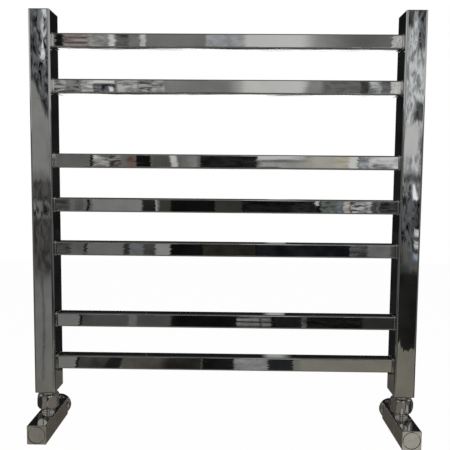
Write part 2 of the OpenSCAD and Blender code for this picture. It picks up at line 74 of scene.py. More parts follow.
camera_data = bpy.data.cameras.new("front_camera")
camera_data.sensor_width = 36.0
camera_data.lens = 45.304
camera = bpy.data.objects.new("front_camera", camera_data)
camera.matrix_world = Matrix((
    (camera_right.x, camera_up.x, -ahead.x, camera_place.x),
    (camera_right.y, camera_up.y, -ahead.y, camera_place.y),
    (camera_right.z, camera_up.z, -ahead.z, camera_place.z),
    (0.0, 0.0, 0.0, 1.0),
))
bpy.context.scene.collection.objects.link(camera)
bpy.context.scene.camera = camera
bpy.context.scene.view_settings.view_transform = "Standard"
print("camera at", [round(v, 3) for v in camera_place], "lens", round(camera_data.lens, 1))

# %% [markdown]
# ## White surroundings
# The rack is shown on plain white. The world is therefore white at strength 1 for whatever looks at
# it directly or in a reflection, and lights everything else a little less. The floor is a large
# pale sheet well below the rack. Most of what the camera gets from it is its own white, and the
# rest is real light, so that a shadow still falls on it. Four small helpers keep the node trees
# short enough to read.

# %% Helpers for node trees
def new_node(tree, kind, place, **values):
    """Adds a shader node. Names in small letters are its settings, and capital ones its inputs."""
    node = tree.nodes.new(f"ShaderNode{kind}")
    node.location = place
    for name, value in values.items():
        if name[0].islower():
            setattr(node, name, value)
        else:
            node.inputs[name.replace("_", " ")].default_value = value
    return node


def new_math(tree, operation, place, second=None):
    """Adds a math node, with a fixed second value where one is given."""
    node = new_node(tree, "Math", place, operation=operation)
    if second is not None:
        node.inputs[1].default_value = second
    return node


def new_vector_math(tree, operation, place):
    """Adds a math node for vectors."""
    return new_node(tree, "VectorMath", place, operation=operation)


def wire(tree, *wires):
    """Links sockets. Each wire is (from node, its output, to node, its input)."""
    for source, output, target, entrance in wires:
        tree.links.new(source.outputs[output], target.inputs[entrance])


# %% A mask for what is looked at
def looked_at(tree):
    """A node that gives 1 for camera, glossy and transmission rays."""
    path = new_node(tree, "LightPath", (-900, 0))
    first = new_math(tree, "MAXIMUM", (-700, 0))
    second = new_math(tree, "MAXIMUM", (-500, 0))
    wire(tree,
         (path, "Is Camera Ray", first, 0),
         (path, "Is Glossy Ray", first, 1),
         (first, 0, second, 0),
         (path, "Is Transmission Ray", second, 1))
    return second


# %% White world
world = bpy.data.worlds.new("white_room")
world.use_nodes = True
bpy.context.scene.world = world
tree = world.node_tree
tree.nodes.clear()
white = (1, 1, 1, 1)
seen_world = new_node(tree, "Background", (-200, 100), Strength=1.0, Color=white)
light_world = new_node(tree, "Background", (-200, -100), Strength=0.9, Color=white)
choose = new_node(tree, "MixShader", (50, 0))
world_out = new_node(tree, "OutputWorld", (250, 0))
wire(tree,
     (looked_at(tree), 0, choose, 0),
     (light_world, 0, choose, 1),
     (seen_world, 0, choose, 2),
     (choose, 0, world_out, "Surface"))
print("world:", world.name)

# %% Pale floor
floor_z = -1.1
floor_size = 14.0
own_share = 0.87
bpy.ops.object.select_all(action="DESELECT")
bpy.ops.mesh.primitive_plane_add(size=floor_size, location=(0.0, 0.0, floor_z))
floor = bpy.context.active_object
floor.name = "pale_floor"
floor_paint = bpy.data.materials.new("pale_floor_paint")
floor_paint.use_nodes = True
tree = floor_paint.node_tree
tree.nodes.clear()
own_white = new_node(tree, "Emission", (-200, 100), Strength=1.0)
lit_white = new_node(tree, "BsdfDiffuse", (-200, -100), Color=(0.98, 0.98, 0.98, 1))
share = new_math(tree, "MULTIPLY", (-350, 200), own_share)
blend_floor = new_node(tree, "MixShader", (50, 0))
floor_out = new_node(tree, "OutputMaterial", (250, 0))
wire(tree,
     (looked_at(tree), 0, share, 0),
     (share, 0, blend_floor, 0),
     (lit_white, 0, blend_floor, 1),
     (own_white, 0, blend_floor, 2),
     (blend_floor, 0, floor_out, "Surface"))
floor.data.materials.append(floor_paint)

# %% [markdown]
# ## What the chrome sees
# Chrome has no colour of its own to speak of: it shows the room. In an empty white room a polished
# tube would vanish, so a studio puts grey and black cards around it, and their edges draw the
# bright and dark bands that make metal look like metal. This studio copies a furnished workshop
# hall: a wall with a lit window, a doorway, shelves with stock on them, a bench and a few uprights.
# The cards are seen in reflections only, and the large ones stand further out than any camera
# does. One paint serves all plain cards, because each card carries its own colour and the strength
# of its mottle. Stock, slats, crumpled foil and a sprayed dapple need a paint each.

# %% Group: a card's mottle
def new_group(name, inputs, outputs):
    """An empty node group with named value inputs and outputs."""
    group = bpy.data.node_groups.new(name, "ShaderNodeTree")
    for label, kind, value in inputs:
        socket = group.interface.new_socket(label, in_out="INPUT", socket_type=kind)
        if value is not None:
            socket.default_value = value
    for label, kind in outputs:
        group.interface.new_socket(label, in_out="OUTPUT", socket_type=kind)
    entry = group.nodes.new("NodeGroupInput")
    entry.location = (-900, 0)
    leave = group.nodes.new("NodeGroupOutput")
    leave.location = (600, 0)
    return group, entry, leave


FLOAT, VECTOR = "NodeSocketFloat", "NodeSocketVector"
mottling, entry, leave = new_group(
    "card_mottle",
    [("Vector", VECTOR, None), ("Grain", FLOAT, 6.0), ("Fold", FLOAT, 0.0), ("Low", FLOAT, 0.36),
     ("High", FLOAT, 0.64), ("Strength", FLOAT, 0.3)],
    [("Factor", FLOAT)],
)
clouds = new_node(mottling, "TexNoise", (-600, 0), Detail=5.0, Roughness=0.62)
spread = new_node(mottling, "MapRange", (-350, 0), To_Min=-1.0, To_Max=1.0)
weigh = new_math(mottling, "MULTIPLY_ADD", (-100, 0))
weigh.inputs[2].default_value = 1.0
wire(mottling,
     (entry, "Vector", clouds, "Vector"),
     (entry, "Grain", clouds, "Scale"),
     (entry, "Fold", clouds, "Distortion"),
     (entry, "Low", spread, "From Min"),
     (entry, "High", spread, "From Max"),
     (clouds, 0, spread, "Value"),
     (spread, 0, weigh, 0),
     (entry, "Strength", weigh, 1),
     (weigh, 0, leave, "Factor"))
print("group:", mottling.name)


# %% A card's soft edges and slats
def soft_edge(tree):
    """A node that fades from 0 on a card's edges to 1 further in, by the card's two edge maps."""
    sides = new_node(tree, "UVMap", (-900, 500), uv_map="sides")
    ends = new_node(tree, "UVMap", (-900, 700), uv_map="ends")
    nearer = new_vector_math(tree, "MINIMUM", (-700, 600))
    pair = new_node(tree, "SeparateXYZ", (-550, 600))
    nearest = new_math(tree, "MINIMUM", (-400, 600))
    fade = new_node(tree, "MapRange", (-200, 600), interpolation_type="SMOOTHSTEP")
    wire(tree,
         (sides, 0, nearer, 0),
         (ends, 0, nearer, 1),
         (nearer, 0, pair, 0),
         (pair, 0, nearest, 0),
         (pair, 1, nearest, 1),
         (nearest, 0, fade, "Value"))
    return fade


def level_slats(tree, place, scale):
    """A node that darkens and lightens a card in level slats."""
    slats = new_node(tree, "TexWave", (-850, -300), bands_direction="Z",
                     Scale=scale, Distortion=0.6)
    step = new_node(tree, "MapRange", (-650, -300),
                    From_Min=0.35, From_Max=0.60, To_Min=0.22, To_Max=1.5)
    wire(tree, (place, "Object", slats, "Vector"), (slats, 1, step, "Value"))
    return step


# %% Card paints
def card_paint(name, stretch, grain, fold=0.0, slats=0.0, reach=0.14):
    """Paint that glows in the card's own colour, mottled as strongly as the card's alpha says.

    stretch squeezes the mottle's coordinates, grain is its scale, and fold crumples it. A smaller
    reach gives it harder edges, and slats is the scale of level slats.
    """
    paint = bpy.data.materials.new(name)
    paint.use_nodes = True
    paint.cycles.emission_sampling = "NONE"
    tree = paint.node_tree
    tree.nodes.clear()
    own = new_node(tree, "ObjectInfo", (-900, 200))
    place = new_node(tree, "TexCoord", (-1300, 0))
    drawn = new_node(tree, "Mapping", (-1100, 0), Scale=stretch)
    mottle = new_node(tree, "Group", (-850, 0), node_tree=mottling,
                      Grain=grain, Fold=fold, Low=0.5 - reach, High=0.5 + reach)
    tint = new_vector_math(tree, "SCALE", (-450, 100))
    glow = new_node(tree, "Emission", (0, 0), Strength=1.0)
    clear = new_node(tree, "BsdfTransparent", (0, 150))
    blend = new_node(tree, "MixShader", (150, 300))
    out = new_node(tree, "OutputMaterial", (350, 0))
    shown = tint
    if slats:
        shown = new_vector_math(tree, "SCALE", (-250, 0))
        wire(tree, (tint, 0, shown, 0), (level_slats(tree, place, slats), 0, shown, "Scale"))
    wire(tree,
         (place, "Object", drawn, "Vector"),
         (drawn, 0, mottle, "Vector"),
         (own, "Alpha", mottle, "Strength"),
         (own, "Color", tint, 0),
         (mottle, "Factor", tint, "Scale"),
         (shown, 0, glow, "Color"),
         (soft_edge(tree), 0, blend, 0),
         (clear, 0, blend, 1),
         (glow, 0, blend, 2),
         (blend, 0, out, "Surface"))
    return paint


even = (1.0, 1.0, 1.0)
PLAIN = card_paint("card_paint", even, 9.0)
STOCK = card_paint("stock_paint", (0.45, 1.0, 2.0), 42.0, fold=0.8, reach=0.09)
SLATS = card_paint("slat_paint", even, 12.0, slats=16.0)
FOIL = card_paint("foil_paint", (2.6, 1.0, 0.8), 17.0, fold=1.6, reach=0.08)
SPRAY = card_paint("spray_paint", even, 160.0)
print("paints:", [paint.name for paint in (PLAIN, STOCK, SLATS, FOIL, SPRAY)])


# %% One card
widest_fade = 0.006


def keep_edge_distances(mesh, across, up, edges, lean, fades):
    """Stores how far each corner is from the card's four edges, counted in the widths of the fades.

    Each map holds the nearness to one edge and to the opposite one, and the smaller of them wins.
    """
    left, right, bottom, top = edges
    width, height = abs(right - left), abs(top - bottom)
    mesh.uv_layers.active.name = "sides"
    mesh.uv_layers.new(name="ends")
    for corner in mesh.loops:
        at = mesh.vertices[corner.vertex_index].co
        high = abs(at[up] - bottom) > 0.5 * height
        far = abs(at[across] - left - (lean if high else 0.0)) > 0.5 * width
        mesh.uv_layers["sides"].data[corner.index].uv = (
            (width / fades[0], 0.0) if far else (0.0, width / fades[1]))
        mesh.uv_layers["ends"].data[corner.index].uv = (
            (height / fades[2], 0.0) if high else (0.0, height / fades[3]))


def card(name, corner_a, corner_b, colour, mottle=0.0, paint=PLAIN, lean=0.0, soft=()):
    """A flat card between two opposite corners that share one coordinate.

    lean shifts its top edge. soft holds the widths over which its left and right edges fade, and
    after them those of its bottom and top edges. Without them, edges fade over a few millimetres.
    """
    bpy.ops.object.select_all(action="DESELECT")
    bpy.ops.mesh.primitive_plane_add(size=1.0, location=(0, 0, 0))
    made = bpy.context.active_object
    made.name = f"{name}_card"
    a, b = Vector(corner_a), Vector(corner_b)
    flat = min(range(3), key=lambda i: abs(a[i] - b[i]))
    u, v = [i for i in range(3) if i != flat]
    for vertex in made.data.vertices:
        top = vertex.co.y > 0
        place = Vector((0, 0, 0))
        place[flat] = a[flat]
        place[u] = (a[u] if vertex.co.x < 0 else b[u]) + (lean if top else 0.0)
        place[v] = b[v] if top else a[v]
        vertex.co = place
    fades = list(soft[:2]) or [min(widest_fade, 0.2 * abs(b[u] - a[u]))] * 2
    fades += list(soft[2:]) or [min(widest_fade, 0.2 * abs(b[v] - a[v]))] * 2
    keep_edge_distances(made.data, u, v, (a[u], b[u], a[v], b[v]), lean, fades)
    made.data.materials.append(paint)
    made.color = (*colour, mottle)
    made.visible_camera = False
    made.visible_diffuse = False
    made.visible_shadow = False
    return made


def grey(level, warmth=0.0):
    """A card colour: its level, with a little yellow for warmth or, below zero, a little blue."""
    return (level * (1 + warmth), level, level * (1 - 1.6 * warmth))


# %% [markdown]
# ## The hall in front of the rack
# The wall of the hall hangs behind the camera, as cards one in front of the other. Large plain ones
# come first, and smaller ones cover them where the hall has things standing about. Each row gives a
# card's name, its left, right, bottom and top edge in metres, and its looks.

# %% Walls, windows and shade behind the camera
front_y = -1.62
step_back = 0.0002
ceiling_z = 1.75
mat_z = -1.09
steps = itertools.count()


def hang(rows):
    """Hangs cards behind the camera, each a step in front of the one before."""
    for name, left, right, low, high, *looks in rows:
        y = front_y + next(steps) * step_back
        card(name, (left, y, low), (right, y, high), *looks)
    print(len(rows), "cards, the last at y =", round(y, 4))


hang([
    ("base_wall", -2.2, 2.2, -1.09, 1.75, grey(0.14), 0.2),
    ("upper_wall", -2.2, 2.2, 0.78, 1.75, grey(0.13), 0.2),
    ("far_left_window", -2.2, -1.15, 0.10, 0.90, grey(0.70), 0.1),
    ("far_right_window", 1.15, 2.2, 0.10, 0.90, grey(0.75), 0.1),
    ("left_wall", -1.15, 0.06, 0.27, 0.80, grey(0.23), 0.1),
    ("pale_wall", -0.112, 0.10, 0.50, 1.10, grey(0.42, -0.03), 0.2, STOCK, 0.01, (0.01, 0.02)),
    ("mid_wall", -0.27, 0.10, 0.27, 0.50, grey(0.27), 0.1),
    ("right_wall", 0.06, 1.15, 0.27, 0.80, grey(0.17), 0.15),
    ("window_glow", 0.15, 0.54, 0.27, 1.25, grey(0.36), 0.1, PLAIN, 0.0, (0.01, 0.24)),
    ("lit_window", 0.035, 0.350, 0.122, 1.25, grey(0.73, -0.005), 0.03, PLAIN, 0.0, (0.03, 0.08)),
    ("window_haze", -0.03, 0.20, 0.36, 0.475, grey(0.72), 0.05, PLAIN, 0.0, (0.12, 0.01)),
    ("left_hall", -2.2, -0.13, -0.42, 0.27, grey(0.17, 0.01), 0.15),
    ("right_hall", 0.30, 2.2, -0.35, 0.27, grey(0.11), 0.3),
    ("low_left", -2.2, -0.10, -0.66, -0.42, grey(0.09), 0.15),
    ("skirting", -2.2, 2.2, -1.09, -0.64, grey(0.20, 0.05), 0.12),
])

# %% Shelves of stock, high on the left
hang([
    ("black_box", -0.720, -0.680, 0.53, 0.66, grey(0.010)),
    ("crate", -0.680, -0.582, 0.54, 0.65, (0.31, 0.26, 0.26), 0.2, SLATS),
    ("parcel", -0.582, -0.500, 0.52, 0.67, grey(0.36), 0.5, STOCK),
    ("white_box", -0.502, -0.472, 0.52, 0.67, grey(0.85), 0.2, STOCK),
    ("dark_stock", -0.472, -0.414, 0.52, 0.67, grey(0.11, -0.03), 0.6, STOCK),
    ("grey_stock", -0.414, -0.374, 0.52, 0.67, grey(0.22), 0.25, PLAIN, 0.004),
    ("post_light", -0.374, -0.346, 0.50, 0.68, grey(0.66), 0.15, STOCK),
    ("mixed_stock", -0.73, -0.672, 0.33, 0.50, grey(0.32, -0.02), 0.9, STOCK),
    ("dull_stock", -0.675, -0.620, 0.33, 0.50, grey(0.18), 0.8, STOCK),
    ("carton", -0.620, -0.566, 0.34, 0.47, grey(0.54), 0.4, STOCK, 0.01),
    ("machine", -0.566, -0.468, 0.34, 0.425, grey(0.13, -0.05), 1.0, STOCK),
    ("machine_lamp", -0.500, -0.480, 0.392, 0.415, grey(0.85), 0.3, STOCK),
    ("lamp_tube", -0.566, -0.474, 0.424, 0.440, grey(0.85), 0.1),
    ("carton_row", -0.468, -0.380, 0.36, 0.475, grey(0.42), 0.5, STOCK),
    ("carton_low", -0.380, -0.268, 0.36, 0.475, grey(0.33), 0.7, STOCK),
])

# %% Stock and a curtain at eye height on the left
hang([
    ("paper_stack", -0.568, -0.496, 0.05, 0.19, grey(0.42, 0.02), 0.7, STOCK),
    ("dark_bag", -0.500, -0.450, 0.05, 0.19, grey(0.19, 0.02), 0.9, STOCK),
    ("bag_handle", -0.505, -0.460, 0.07, 0.100, grey(0.03), 0.5, STOCK),
    ("brick", -0.440, -0.394, 0.03, 0.20, (0.165, 0.105, 0.085), 0.4, STOCK, 0.0, (0.02, 0.006)),
    ("open_cupboard", -0.394, -0.326, 0.02, 0.22, grey(0.008), 0.4),
    ("olive_curtain", -0.326, -0.236, 0.02, 0.22, grey(0.105, 0.05), 0.15),
    ("bright_curtain", -0.238, -0.206, 0.03, 0.20, grey(0.78, 0.02), 0.2, PLAIN, -0.024),
    ("grey_curtain", -0.210, -0.140, 0.02, 0.20, grey(0.27), 0.3, PLAIN, 0.004),
    ("pale_bench", -0.574, -0.366, -0.14, 0.0, grey(0.28), 0.12),
    ("bench_end", -0.366, -0.300, -0.14, 0.0, grey(0.022), 0.4),
    ("bench_rod", -0.303, -0.296, -0.14, 0.0, grey(0.50), 0.0, PLAIN, -0.010),
    ("olive_panel", -0.296, -0.243, -0.14, 0.0, grey(0.055, 0.05), 0.1),
    ("block_edge", -0.665, -0.600, -0.33, -0.18, grey(0.17), 0.2),
    ("pale_panel", -0.600, -0.438, -0.33, -0.18, grey(0.21), 0.1),
    ("panel_gap", -0.445, -0.412, -0.33, -0.18, grey(0.045), 0.1),
    ("blue_panel", -0.420, -0.362, -0.33, -0.18, grey(0.205, -0.05), 0.3),
    ("shade_panel", -0.362, -0.309, -0.33, -0.18, grey(0.085), 0.3),
    ("white_tank", -0.312, -0.248, -0.33, -0.18, grey(0.35), 0.1),
    ("light_post", -0.427, -0.386, -0.64, -0.42, grey(0.17), 0.1),
    ("low_floor", -0.640, -0.455, -0.80, -0.66, grey(0.060), 0.4),
    ("slant_shade", -0.570, -0.480, -0.80, -0.66, grey(0.018), 0.3, PLAIN, 0.085, (0.02, 0.02)),
    ("brown_floor", -0.455, -0.115, -0.80, -0.66, grey(0.085, 0.06), 0.3),
    ("brown_shade", -0.310, -0.115, -0.80, -0.66, grey(0.026, 0.06), 0.4, PLAIN, 0.0,
     (0.06, 0.006)),
    ("left_block", -0.725, -0.660, -0.42, 0.02, grey(0.075, -0.01), 0.5, STOCK),
    ("left_board", -0.645, -0.605, -0.14, 0.02, grey(0.115), 0.3),
    ("left_step", -0.740, -0.643, -0.82, -0.42, grey(0.24), 0.06, PLAIN, 0.022),
])

# %% The doorway
hang([
    ("doorway", -0.250, 0.50, -0.64, 0.02, grey(0.007), 0.3),
    ("door_top", -0.133, 0.105, 0.0, 0.27, grey(0.019, -0.01), 0.5, STOCK, 0.01),
    ("door_panel", -0.068, 0.050, -0.14, 0.02, grey(0.050, 0.04), 0.2),
    ("dim_hall", 0.050, 0.36, -0.12, 0.02, grey(0.011, -0.04), 0.6, STOCK),
    ("dim_end", 0.230, 0.36, -0.12, 0.02, grey(0.024, -0.04), 0.7, STOCK, 0.0, (0.05, 0.006)),
    ("brown_door", -0.115, 0.107, -0.33, -0.16, grey(0.026, 0.12), 0.4),
    ("blue_dark", 0.107, 0.49, -0.33, -0.16, (0.0155, 0.0165, 0.021), 0.5),
    ("doorway_foot", -0.118, 0.27, -0.80, -0.64, grey(0.011, -0.05), 0.4),
    ("foot_haze", 0.165, 0.27, -0.80, -0.64, grey(0.022, -0.05), 0.3),
    ("stool", 0.026, 0.175, -0.64, -0.48, grey(0.17), 0.3, SLATS),
    ("stool_leg", 0.124, 0.132, -0.64, -0.48, grey(0.02)),
    ("dim_foot", 0.185, 0.300, -0.62, -0.46, grey(0.017, -0.04), 0.4),
    ("grid_box", 0.018, 0.165, -0.80, -0.685, grey(0.31, -0.01), 0.25, STOCK),
    ("bottle", 0.298, 0.324, -0.62, -0.50, grey(0.13), 0.6, STOCK),
])

# %% Right of the doorway
hang([
    ("table_edge", 0.06, 0.40, 0.02, 0.120, grey(0.46), 0.2, PLAIN, 0.05,
     (0.03, 0.03, 0.001, 0.012)),
    ("table_things", 0.10, 0.215, 0.05, 0.098, grey(0.045), 0.8, STOCK, 0.0,
     (0.03, 0.04, 0.001, 0.008)),
    ("beige_wall", 0.27, 0.500, 0.02, 0.20, (0.47, 0.455, 0.41), 0.15, PLAIN, 0.0, (0.07, 0.02)),
    ("beige_folds", 0.40, 0.500, 0.02, 0.20, (0.56, 0.53, 0.44), 0.25, STOCK, 0.0, (0.05, 0.02)),
    ("white_door", 0.478, 0.518, 0.0, 0.30, grey(0.80), 0.05),
    ("blue_coat", 0.518, 0.560, 0.03, 0.27, grey(0.33, -0.06), 0.6, STOCK),
    ("pale_shelf", 0.556, 0.73, 0.02, 0.30, grey(0.66, -0.01), 0.3, STOCK),
    ("shelf_things", 0.575, 0.66, 0.075, 0.11, grey(0.30, -0.03), 0.9, STOCK),
    ("wall_switch", 0.345, 0.360, -0.066, -0.034, grey(0.70), 0.3, STOCK),
    ("green_coat", 0.366, 0.458, -0.14, 0.0, (0.135, 0.155, 0.145), 0.7, STOCK),
    ("blue_bag", 0.436, 0.458, -0.14, 0.0, (0.16, 0.20, 0.25), 0.4, STOCK),
    ("beige_box", 0.458, 0.490, -0.14, 0.0, (0.52, 0.50, 0.44), 0.3, STOCK),
    ("bright_stock", 0.490, 0.577, -0.14, 0.0, grey(0.32, -0.03), 1.0, STOCK),
    ("dark_case", 0.577, 0.73, -0.14, 0.0, grey(0.055, -0.02), 0.7, STOCK),
    ("case_edge", 0.600, 0.608, -0.14, 0.0, grey(0.20)),
    ("rough_wall", 0.489, 0.565, -0.33, -0.16, grey(0.095, -0.02), 0.6, STOCK),
    ("plain_wall", 0.565, 0.662, -0.33, -0.16, grey(0.20, -0.01), 0.2),
    ("wall_end", 0.662, 0.73, -0.33, -0.16, (0.060, 0.072, 0.060), 0.3),
    ("under_table", 0.324, 1.6, -0.66, -0.33, grey(0.012), 0.5, STOCK),
    ("table_leg", 0.550, 0.73, -0.66, -0.48, grey(0.034), 0.1),
    ("warm_base", 0.270, 1.6, -1.09, -0.665, (0.265, 0.250, 0.215), 0.06, PLAIN, 0.02,
     (0.02, 0.006)),
    ("low_window_shade", 0.255, 0.390, 0.36, 0.475, grey(0.29, -0.01), 0.2, PLAIN, 0.060,
     (0.04, 0.02)),
    ("low_wall_shade", 0.350, 0.522, 0.36, 0.475, grey(0.17, -0.02), 0.2, STOCK, 0.0, (0.03, 0.01)),
    ("tree_shade", 0.515, 0.553, 0.36, 0.475, grey(0.055), 0.6, STOCK),
    ("tree", 0.553, 0.604, 0.36, 0.475, grey(0.41, -0.03), 0.8, STOCK),
    ("tree_side", 0.604, 0.640, 0.36, 0.475, grey(0.13, -0.03), 0.6, STOCK),
])

# %% The slanted pole, and what the two collectors face
hang([
    ("pole", -0.655, -0.641, -0.86, 0.20, grey(0.010), 0.0, PLAIN, 0.085, (0.003, 0.003)),
    ("left_foil", -0.92, -0.718, 0.27, 0.80, grey(0.115, -0.05), 1.0, FOIL),
    ("left_foil_bright", -0.775, -0.745, 0.50, 0.78, grey(0.50, -0.03), 1.0, FOIL, 0.015,
     (0.01, 0.01)),
    ("left_slant", -0.92, -0.718, 0.27, 0.485, grey(0.30), 0.12, PLAIN, -0.100, (0.006, 0.012)),
    ("left_foil_seam", -0.743, -0.722, 0.27, 0.510, grey(0.06), 0.4, FOIL, -0.090, (0.012, 0.008)),
    ("left_pale", -0.92, -0.718, 0.035, 0.30, grey(0.295), 0.10, PLAIN, 0.0,
     (0.01, 0.01, 0.07, 0.03)),
    ("left_pale_curve", -0.765, -0.718, 0.045, 0.24, grey(0.24, 0.01), 0.2, PLAIN, 0.015,
     (0.02, 0.01, 0.01, 0.1)),
    ("left_dull", -0.92, -0.718, -0.42, 0.04, grey(0.075, 0.02), 0.45, FOIL, 0.0,
     (0.01, 0.01, 0.07, 0.02)),
    ("left_band", -0.92, -0.718, -0.13, -0.04, grey(0.14), 0.9, FOIL, 0.0,
     (0.01, 0.01, 0.03, 0.02)),
    ("left_smooth", -0.92, -0.712, -0.80, -0.32, grey(0.215, 0.005), 0.12, PLAIN, 0.0,
     (0.01, 0.01, 0.01, 0.09)),
    ("left_cord", -0.783, -0.768, -0.80, -0.34, grey(0.12), 0.2, PLAIN, 0.006, (0.007, 0.007)),
    ("right_foil", 0.682, 0.90, 0.05, 0.82, grey(0.56, -0.03), 0.5, FOIL),
    ("right_dark_foil", 0.736, 0.90, 0.54, 0.82, grey(0.13, -0.05), 0.8, FOIL, -0.02,
     (0.015, 0.01, 0.04, 0.03)),
    ("right_top", 0.682, 0.720, 0.628, 0.82, grey(0.12, -0.04), 0.7, FOIL, 0.02,
     (0.01, 0.015, 0.03, 0.02)),
    ("right_fold", 0.716, 0.90, 0.270, 0.37, grey(0.075, -0.05), 0.9, FOIL, 0.01,
     (0.02, 0.01, 0.02, 0.02)),
    ("right_edge", 0.750, 0.90, 0.10, 0.27, grey(0.20, -0.02), 0.6, FOIL, 0.0,
     (0.02, 0.01, 0.02, 0.02)),
    ("right_clear", 0.682, 0.756, 0.13, 0.27, grey(0.68, -0.01), 0.1, PLAIN, 0.01,
     (0.01, 0.02, 0.02, 0.02)),
    ("right_dull", 0.682, 0.90, -0.29, 0.086, grey(0.085, -0.04), 1.0, FOIL, 0.0,
     (0.01, 0.01, 0.06, 0.03)),
    ("right_glare", 0.682, 0.90, -0.030, 0.050, grey(0.23, -0.03), 0.8, FOIL, 0.0,
     (0.01, 0.01, 0.02, 0.02)),
    ("right_square", 0.682, 0.715, -0.06, -0.015, grey(0.03, -0.03), 0.2),
    ("right_light", 0.703, 0.724, -0.30, -0.20, grey(0.14), 0.2),
    ("right_loop", 0.733, 0.760, -0.038, 0.032, grey(0.70, -0.03), 0.8, FOIL),
    ("right_spot", 0.745, 0.766, -0.185, -0.150, grey(0.80, -0.02), 0.3, STOCK),
    ("right_spot_low", 0.744, 0.764, -0.232, -0.198, grey(0.70, -0.02), 0.3, STOCK),
    ("right_blue_spot", 0.742, 0.763, -0.280, -0.250, (0.38, 0.52, 0.68), 0.3, STOCK),
    ("right_black", 0.682, 0.90, -0.75, -0.305, grey(0.019), 0.3, PLAIN, 0.0,
     (0.006, 0.006, 0.006, 0.04)),
    ("right_foot", 0.600, 0.90, -1.09, -0.648, (0.250, 0.238, 0.200), 0.12),
    ("right_foot_peak", 0.640, 0.722, -0.70, -0.615, (0.250, 0.238, 0.200), 0.12, PLAIN, -0.02),
    ("spray_high", 0.634, 0.690, 0.545, 0.655, grey(0.58), 0.4, SPRAY),
    ("spray_low", 0.636, 0.692, 0.36, 0.475, grey(0.70), 0.3, SPRAY),
])

# %% What the two valves face, near the floor
hang([
    ("left_valve", -0.92, -0.62, -1.09, -0.90, (0.255, 0.250, 0.215), 0.35, SPRAY),
    ("right_valve", 0.64, 0.92, -1.09, -0.90, (0.50, 0.49, 0.44), 0.35, SPRAY),
    ("left_recess", -0.733, -0.560, -1.04, -0.865, grey(0.018), 0.3),
    ("right_recess", 0.560, 0.687, -1.04, -0.865, grey(0.018), 0.3),
    ("left_glint", -0.706, -0.692, -0.905, -0.890, grey(0.9)),
    ("right_glint", 0.650, 0.662, -0.915, -0.900, grey(0.9)),
])

# %% [markdown]
# ## The rest of the hall
# Behind the rack the hall is dark, so the collectors' inner sides turn black. Two narrow strips of
# skylight whiten the undersides of the upper rails, and small black blinds keep those strips out of
# the collectors' sides, and out of the corners where the two upper rails meet them. A pane gives
# the tops of the lower rails a soft light. Cards at the sides, below and above close the hall.

# %% Cards behind the rack
back_y = 1.36
edge_y = back_y - step_back
glow_y = edge_y - step_back
wall_x = 2.2
card("back_wall", (-wall_x, back_y, -0.70), (wall_x, back_y, ceiling_z), grey(0.13), 0.3)
card("back_low", (-wall_x, back_y, mat_z), (wall_x, back_y, -0.70), grey(0.10, 0.08), 0.2)
card("black_band", (-1.0, edge_y, -0.16), (1.0, edge_y, 0.42), grey(0.013, -0.06), 0.3)
card("black_strip", (-0.34, edge_y, -0.745), (0.34, edge_y, 0.90), grey(0.013, -0.04), 0.3)
card("low_skylight", (-0.80, glow_y, -0.100), (0.80, glow_y, -0.086), grey(1.5))
card("high_skylight", (-0.80, glow_y, -0.0515), (0.80, glow_y, -0.040), grey(1.5))
card("pane", (0.098, 0.8, 0.028), (0.200, 0.8, 0.078), grey(0.45), soft=(0.03, 0.05, 0.012, 0.012))

# %% Blinds against the skylight
for left, right in ((-0.145, -0.105), (0.120, 0.155)):
    card("blind", (left, 0.3, -0.07), (right, 0.3, 0.0), grey(0.01))
blind_width = 0.006
blind_gap = 0.0005
for rail in ("rail_1", "rail_2"):
    low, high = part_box(rail)
    blind_z = low[2] - blind_gap
    for end_x, inward in ((low[0], blind_width), (high[0], -blind_width)):
        card("joint_blind", (end_x, low[1] + blind_gap, blind_z),
             (end_x + inward, high[1] + 2 * blind_gap, blind_z), grey(0.013))
    print(rail, "blinds at z =", round(blind_z, 4), "from x =", round(low[0], 3), round(high[0], 3))

# %% Cards at the sides, under the rack and over it
side_x = 2.0
corner_x = 1.98
window_x = 1.99
for x in (-corner_x, corner_x):
    card("corner", (x, -1.3, mat_z), (x, 1.3, -0.60), grey(0.035), 0.6)
    card("back_corner", (0.4 * x, glow_y, -1.08), (x, glow_y, -0.70), grey(0.03), 0.6)
for side, x, level in (("left", -1, 0.10), ("right", 1, 0.14)):
    card(f"{side}_side", (x * side_x, front_y, mat_z), (x * side_x, back_y, ceiling_z),
         grey(level, 0.01), 0.4)
    card(f"{side}_side_window", (x * window_x, -1.3, 0.40), (x * window_x, 0.9, 1.3), grey(0.62))
mat_y = -0.35
card("front_mat", (-side_x, front_y, mat_z), (side_x, mat_y, mat_z), grey(0.20, 0.07), 0.15)
card("back_mat", (-side_x, mat_y, mat_z), (side_x, back_y, mat_z), grey(0.095, 0.09), 0.2)
card("ceiling", (-wall_x, front_y, ceiling_z), (wall_x, back_y, ceiling_z), grey(0.10), 0.2)
print("mat", mat_z, "m, ceiling", ceiling_z, "m")

# %% [markdown]
# ## Light
# Two large soft lamps light the rack and let a soft shadow fall, and they are kept out of
# reflections. They are wide for their distance, so no edge of light is hard.

# %% Soft lamps
def soft_lamp(name, place, width, power):
    """A square lamp that points at the rack and isn't seen in reflections itself."""
    data = bpy.data.lights.new(name, "AREA")
    data.shape = "SQUARE"
    data.size = width
    data.energy = power
    lamp = bpy.data.objects.new(name, data)
    lamp.location = place
    rack_middle = Vector((0, -0.08, 0))
    lamp.rotation_euler = (rack_middle - Vector(place)).to_track_quat("-Z", "Y").to_euler()
    lamp.visible_glossy = False
    bpy.context.scene.collection.objects.link(lamp)
    print(name, power, "W")


soft_lamp("high_left_lamp", (-0.9, -1.3, 1.35), 0.8, 9)
soft_lamp("high_right_lamp", (1.3, -0.9, 1.5), 0.6, 5)

